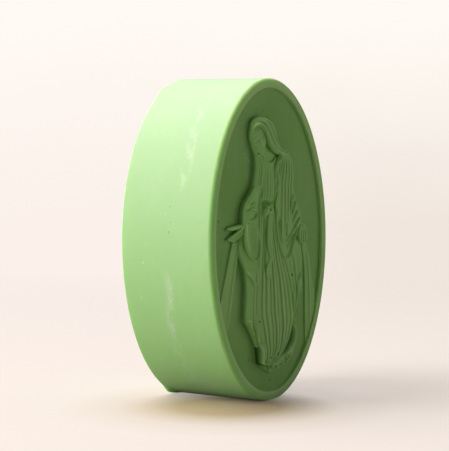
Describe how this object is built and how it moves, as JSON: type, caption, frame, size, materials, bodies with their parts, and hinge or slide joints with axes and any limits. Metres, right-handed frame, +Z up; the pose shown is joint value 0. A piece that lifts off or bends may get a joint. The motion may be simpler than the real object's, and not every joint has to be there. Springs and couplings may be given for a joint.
{
  "type": "oval relief soap bar",
  "caption": "Oval soap bar cast in a silicone mould, with a rounded rim and a raised relief of a veiled standing figure with open hands.",
  "frame": {"origin": "centre of the small flat at the bar's lower end, on the surface that it stands on", "axes": "+Z up along the oval's long axis, -Y out of the relief face, +X to the right of someone facing the relief"},
  "size_m": [0.0544, 0.0306, 0.0824],
  "materials": {
    "soap": "satin, slightly translucent cast soap"
  },
  "bodies": {
    "root": {"back_pour": "soap", "face_pour": "soap", "ray_fan_left": "soap", "ray_fan_right": "soap", "ground": "soap", "gown": "soap", "mantle_left": "soap", "mantle_right": "soap", "hem_horn": "soap", "neck": "soap", "head": "soap", "veil": "soap", "hand_left": "soap", "hand_right": "soap", "sleeve_left": "soap", "sleeve_right": "soap", "girdle_ribbon": "soap", "girdle_bow": "soap", "star_01": "soap", "star_02": "soap", "star_03": "soap", "star_04": "soap", "star_05": "soap", "star_06": "soap", "star_07": "soap", "star_08": "soap", "star_09": "soap", "star_10": "soap", "star_11": "soap", "star_12": "soap"}
  },
  "joints": []
}
